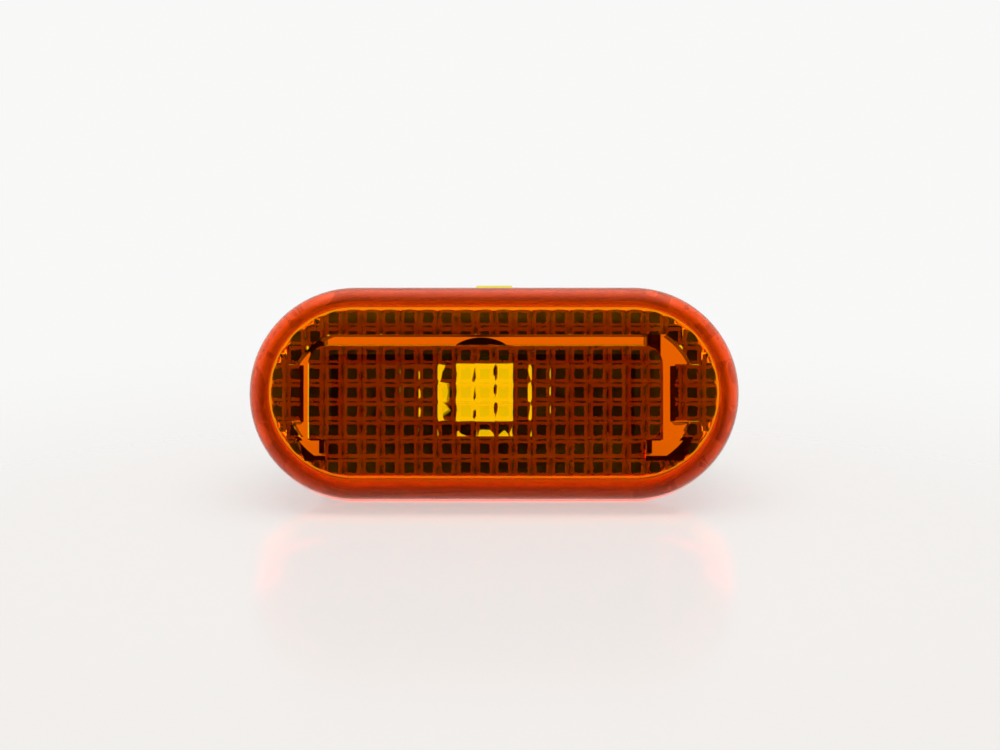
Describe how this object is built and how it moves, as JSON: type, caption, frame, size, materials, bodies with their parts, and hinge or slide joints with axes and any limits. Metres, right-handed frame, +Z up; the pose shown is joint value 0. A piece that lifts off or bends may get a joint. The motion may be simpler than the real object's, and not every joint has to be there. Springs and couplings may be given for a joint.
{
  "type": "side turn signal lamp",
  "caption": "Oval amber side turn signal lamp with pillow optics, a black bulb chamber, a foam gasket and a hook and tongue that snap into a panel.",
  "frame": {"origin": "centre of the lens outline, on the gasket's back face, which seats on the body panel", "axes": "+Y out of the back, into the car; the lens faces -Y; +X along the lamp towards the spring tongue; +Z up"},
  "size_m": [0.078, 0.0388, 0.0347],
  "materials": {
    "amber_lens": "polished clear amber acrylic",
    "black_plastic": "satin moulded black",
    "gasket_foam": "fine closed-cell foam"
  },
  "bodies": {
    "root": {"lens": "amber_lens", "housing": "black_plastic", "gasket": "gasket_foam"}
  },
  "joints": []
}
